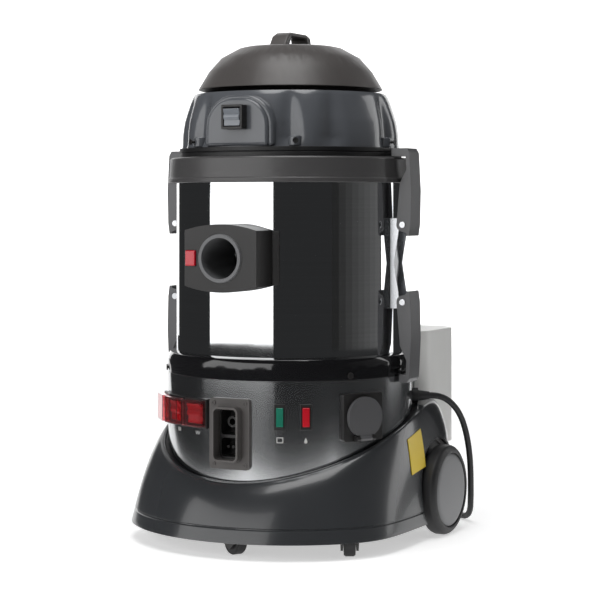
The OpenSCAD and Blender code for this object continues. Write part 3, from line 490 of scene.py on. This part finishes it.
def make_base():
    shell = ring_sweep("base_shell_form", lambda a: base_section(a, 30), 288)
    fix_normals(shell)
    tank_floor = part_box("water_tank")[0].z / MM
    wells = [x_cylinder("well", WELL_R, s * 150, s * 260, WHEEL_Y, WHEEL_R) for s in (-1, 1)]
    pocket = prism("pocket", tank_outline(2), tank_floor, tank_floor + 200)
    cut(shell, *wells, pocket)
    stand_for(bevelled(shell, 1.2, 2, 55), "base_shell")


make_base()


def make_well(side):
    """The cup behind a rear wheel."""
    wheel_w, gap, cup_t, cup_out, axle_hole = 25, 5, 3, 171, 6.3
    well_in = WHEEL_OUT - wheel_w - gap
    profile = [(axle_hole, well_in - cup_t), (WELL_R + cup_t, well_in - cup_t), (WELL_R + cup_t, cup_out),
               (WELL_R, cup_out), (WELL_R, well_in + 3), (WELL_R - 3, well_in), (axle_hole, well_in)]
    sides = 96
    verts, faces = [], []
    for k in range(sides):
        a = 2 * math.pi * k / sides
        verts += [AXIS + Vector((side * x, WHEEL_Y + r * math.cos(a), WHEEL_R + r * math.sin(a))) * MM
                  for r, x in profile]
    n = len(profile)
    for k in range(sides):
        j = (k + 1) % sides
        for m in range(n):
            q = (m + 1) % n
            faces.append((k * n + m, k * n + q, j * n + q, j * n + m))
    obj = make("wheel_well_" + ("right" if side > 0 else "left"), verts, faces)
    fix_normals(obj)
    # nothing of the cup reaches below the base's lower edge
    bm = bmesh.new()
    bm.from_mesh(obj.data)
    geom = bm.verts[:] + bm.edges[:] + bm.faces[:]
    res = bmesh.ops.bisect_plane(bm, geom=geom, plane_co=(0, 0, (BASE_LOW + 0.5) * MM), plane_no=(0, 0, -1),
                                 clear_outer=True)
    edges = [e for e in res["geom_cut"] if isinstance(e, bmesh.types.BMEdge)]
    bmesh.ops.holes_fill(bm, edges=edges)
    bm.to_mesh(obj.data)
    bm.free()
    shade_by_angle(obj, 40)
    obj.data.materials.append(MATS["black_plastic"])
    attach(obj, "machine")


for side in (1, -1):
    make_well(side)


# ---------- motor housing ----------
SEAL_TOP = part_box("head_seal")[1].z / MM
MOTOR_R = 141.0
MOTOR_H = 70.0
MOTOR_LINE = [(0.0, 0.0), (0.27, -1.0), (0.48, -3.2), (0.66, -7.0), (0.84, -11.2), (0.97, -15.0), (1.0, -17.0)]
FLUTES = (27, 50, 90, 130, 153, -27, -50, -90, -130, -153)
FLUTE_DEPTH = 8.5


def along(table, t):
    for (t0, v0), (t1, v1) in zip(table, table[1:]):
        if t <= t1:
            return v0 + (v1 - v0) * (t - t0) / (t1 - t0)
    return table[-1][1]


def motor_section(a):
    degrees = math.degrees(math.atan2(math.sin(a), math.cos(a)))
    out = []
    for k in range(25):
        t = k / 24
        r = MOTOR_R + along(MOTOR_LINE, t)
        wide = 6.5 * (1 - 0.35 * t)
        for flute in FLUTES:
            gap = (degrees - flute + 180) % 360 - 180
            r -= FLUTE_DEPTH * math.exp(-(gap / wide) ** 2) * (1 - t ** 2.5) * min(1, 0.55 + 3 * t)
        out.append((r, SEAL_TOP + MOTOR_H * t))
    top = SEAL_TOP + MOTOR_H
    return out + [(100, top - 0.5), (100, top - 6), (122, SEAL_TOP + 4), (122, SEAL_TOP)]


def arch_pad(name, half, low, high, arch, face, depth):
    """A flat pad with an arched top, standing out from the front."""
    outline = [(-half, low), (half, low)]
    for k in range(13):
        a = math.pi / 2 * k / 12
        outline.append((half - arch + arch * math.cos(a), high - arch + arch * math.sin(a)))
    for k in range(13):
        a = math.pi / 2 * (1 + k / 12)
        outline.append((-half + arch + arch * math.cos(a), high - arch + arch * math.sin(a)))
    n = len(outline)
    verts = [AXIS + Vector((x, -r, z)) * MM for r in (face, face - depth) for x, z in outline]
    faces = [(k, (k + 1) % n, n + (k + 1) % n, n + k) for k in range(n)]
    faces += [tuple(range(n - 1, -1, -1)), tuple(range(n, 2 * n))]
    obj = make(name, verts, faces)
    fix_normals(obj)
    return obj


def post(name, angle, radius, z0, z1, r, sides=32):
    centre = on_body(angle, radius, 0)
    turns = [2 * math.pi * k / sides for k in range(sides)]
    verts = [centre + Vector((r * math.cos(t), r * math.sin(t), z)) * MM for z in (z0, z1) for t in turns]
    faces = [(k, (k + 1) % sides, sides + (k + 1) % sides, sides + k) for k in range(sides)]
    faces += [tuple(range(sides - 1, -1, -1)), tuple(range(sides, 2 * sides))]
    obj = make(name, verts, faces)
    fix_normals(obj)
    return obj


def joined(name, parts):
    bm = bmesh.new()
    for part in parts:
        bm.from_mesh(part.data)
    obj = parts[0]
    bm.to_mesh(obj.data)
    bm.free()
    for part in parts[1:]:
        bpy.data.objects.remove(part)
    obj.name = name
    return obj


body = ring_sweep("motor_housing_form", motor_section, 480)
fix_normals(body)
shade_by_angle(body, 40)
pad = bevelled(arch_pad("pad", 43, SEAL_TOP + 0.5, SEAL_TOP + 60, 36, MOTOR_R + 3, 24), 4.5, 4)
pad_edge = bevelled(arch_pad("pad_edge", 48, SEAL_TOP + 0.5, SEAL_TOP + 64, 40, MOTOR_R - 2, 20), 4, 4)
posts = [bevelled(post("post", a, MOTOR_R - 6, SEAL_TOP + 0.5, SEAL_TOP + 13, 8), 1.5)
         for a in (-150, -90, -30, 30, 90, 150)]
stand_for(joined("motor_housing_form", [body, pad, pad_edge] + posts), "motor_housing")


# ---------- the outer CAD pieces with their edges rounded over, by this many mm ----------
EDGES = {
    "carry_handle": 2.5, "inlet_body": 2.5, "inlet_ring": 0.8, "inlet_button": 1.5, "inlet_flange": 0.8,
    "head_switch_frame": 1.2, "head_rocker": 0.8, "rocker_1": 0.8, "rocker_2": 0.8, "rocker_3": 0.8,
    "switch_panel": 0.8, "steam_socket_plate": 1.0, "steam_socket_core": 0.6, "lamp_bezels": 0.7,
    "lamp_green": 0.8, "lamp_red": 0.8, "outlet_flange": 1.0, "outlet_lid": 1.0, "cable_gland": 0.6,
    "latch_upper_right": 1.6, "latch_upper_left": 1.6, "latch_lower_right": 1.6, "latch_lower_left": 1.6,
    "latch_brackets": 0.3, "latch_rivets": 0.6, "top_cover": 1.5, "head_seal": 1.0,
    "head_rim": 0.8, "drum_ring": 0.6, "tyre_right": 2.0, "tyre_left": 2.0, "wheel_hub_right": 1.0,
    "wheel_hub_left": 1.0, "water_tank": 4.0, "tank_cap": 0.8, "plug": 1.0, "case_screws": 0.3,
    "caster_fork_front": 1.5, "caster_fork_right": 1.5, "caster_fork_left": 1.5, "caster_wheel_front": 1.2,
    "caster_wheel_right": 1.2, "caster_wheel_left": 1.2, "drum": 0.3, "boiler_housing": 0.2,
    "switch_covers": 0.4,
}
forms = {node: soften(node, width) for node, width in EDGES.items()}


# ---------- printed marks under the switches and lamps ----------
MATS["mark_white"] = plastic("mark_white", (0.62, 0.62, 0.6), 0.45, 0.05)
PRINT_R = HOUSING_R + 0.25


def mark(name, angle, z, outlines):
    """Flat printed shapes on the round housing; each outline is in mm across and up from its place."""
    verts, faces = [], []
    for outline in outlines:
        faces.append(tuple(range(len(verts), len(verts) + len(outline))))
        verts += [on_body(angle + math.degrees(u / PRINT_R), PRINT_R, z + v) for u, v in outline]
    obj = make(name, verts, faces)
    obj.data.materials.append(MATS["mark_white"])
    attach(obj, "machine")


def drop_shape(size):
    ring = [(0.5 * size * math.cos(a), 0.5 * size * math.sin(a)) for a in
            [math.radians(-200 + 220 * k / 16) for k in range(17)]]
    return ring + [(0, 1.3 * size)]


def bar(u, v, w, h):
    return [(u - w / 2, v - h / 2), (u + w / 2, v - h / 2), (u + w / 2, v + h / 2), (u - w / 2, v + h / 2)]


mark("mark_drop", 34.4, 137, [drop_shape(4)])
mark("mark_cup", 23, 139, [bar(0, -3, 8, 0.9), bar(-3.6, 0, 0.9, 6), bar(3.6, 0, 0.9, 6), bar(0, 3, 8, 0.9)])
mark("mark_power", -49.2, 143, [bar(0, 0, 1.2, 6)])
mark("mark_pump", -34, 143, [bar(u, 0, 0.9, 4.5) for u in (-3, -1, 1, 3)])
mark("mark_heat", -18.8, 143, [[(-4, 2), (-2, -2), (0, 2), (2, -2), (4, 2),
                                (4, 0.8), (2, -3.2), (0, 0.8), (-2, -3.2), (-4, 0.8)]])


# ---------- floor, backdrop and lights ----------
def plain(name, color, rough, glow):
    """A stage finish that may glow."""
    mat, nodes, links, bsdf = new_material(name)
    vec = coords(nodes, links, (1, 1, 1))
    slow = noise_tex(nodes, links, vec, 3, 2)
    links.new(tint(nodes, links, slow, scaled(color, 0.99), scaled(color, 1.01)), bsdf.inputs["Base Color"])
    bsdf.inputs["Roughness"].default_value = rough
    bsdf.inputs["Emission Color"].default_value = (1, 1, 1, 1)
    bsdf.inputs["Emission Strength"].default_value = glow
    return mat


def arc_screen(name, az0, az1, radius, z0, z1, mat, steps=24):
    """A curved upright screen round the machine; angles from the front towards +X, sizes in metres."""
    verts, faces = [], []
    for k in range(steps + 1):
        a = az0 + (az1 - az0) * k / steps
        for z in (z0, z1):
            verts.append(on_body(a, radius / MM, z / MM))
    for k in range(steps):
        faces.append((2 * k, 2 * k + 1, 2 * k + 3, 2 * k + 2))
    obj = make(name, verts, faces)
    obj.data.materials.append(mat)


# the floor lies where the camera sees it, and the steel mirrors the dark round it
look = Matrix.Rotation(math.radians(VIEW_AZIMUTH), 3, "Z")
floor = make("floor", [AXIS + look @ Vector(p) for p in ((-0.55, -0.75, 0), (0.55, -0.75, 0), (1.5, 3.8, 0),
                                                         (-1.5, 3.8, 0))], [(0, 1, 2, 3)])
floor.data.materials.append(plain("floor_white", (0.9, 0.9, 0.9), 0.9, 0.5))
arc_screen("backdrop", 178, 238, 3.6, 0, 3.5, plain("backdrop_white", (0.9, 0.9, 0.9), 0.7, 0.9))
arc_screen("light_front_left", -58, 11, 3.4, 0.0, 2.6, plain("glow_front", (0.9, 0.9, 0.9), 0.5, 1.6))
# a faint glow that rises towards the machine's side
for k in range(8):
    arc_screen(f"light_dim_{k}", 68 + 7.3 * k, 75.3 + 7.3 * k, 3.2, 0.0, 2.4,
               plain(f"glow_dim_{k}", (0.02, 0.02, 0.02), 0.9, 0.01 + 0.014 * k))
arc_screen("light_right", 128, 150, 3.0, 0.0, 2.4, plain("glow_side", (0.9, 0.9, 0.9), 0.5, 1.6))


def area(name, location, target, size, watts):
    data = bpy.data.lights.new(name, "AREA")
    data.energy = watts
    data.size = size
    obj = bpy.data.objects.new(name, data)
    bpy.context.scene.collection.objects.link(obj)
    obj.location = location
    obj.rotation_euler = (Vector(target) - Vector(location)).to_track_quat("-Z", "Y").to_euler()


area("top", (0.2, -0.6, 2.6), (0, 0, 0.3), 1.6, 34)
world = bpy.data.worlds.new("world")
bpy.context.scene.world = world
world.use_nodes = True
world.node_tree.nodes["Background"].inputs["Color"].default_value = (0.9, 0.92, 0.95, 1)
world.node_tree.nodes["Background"].inputs["Strength"].default_value = 0.03
bpy.context.scene.view_settings.view_transform = "Standard"
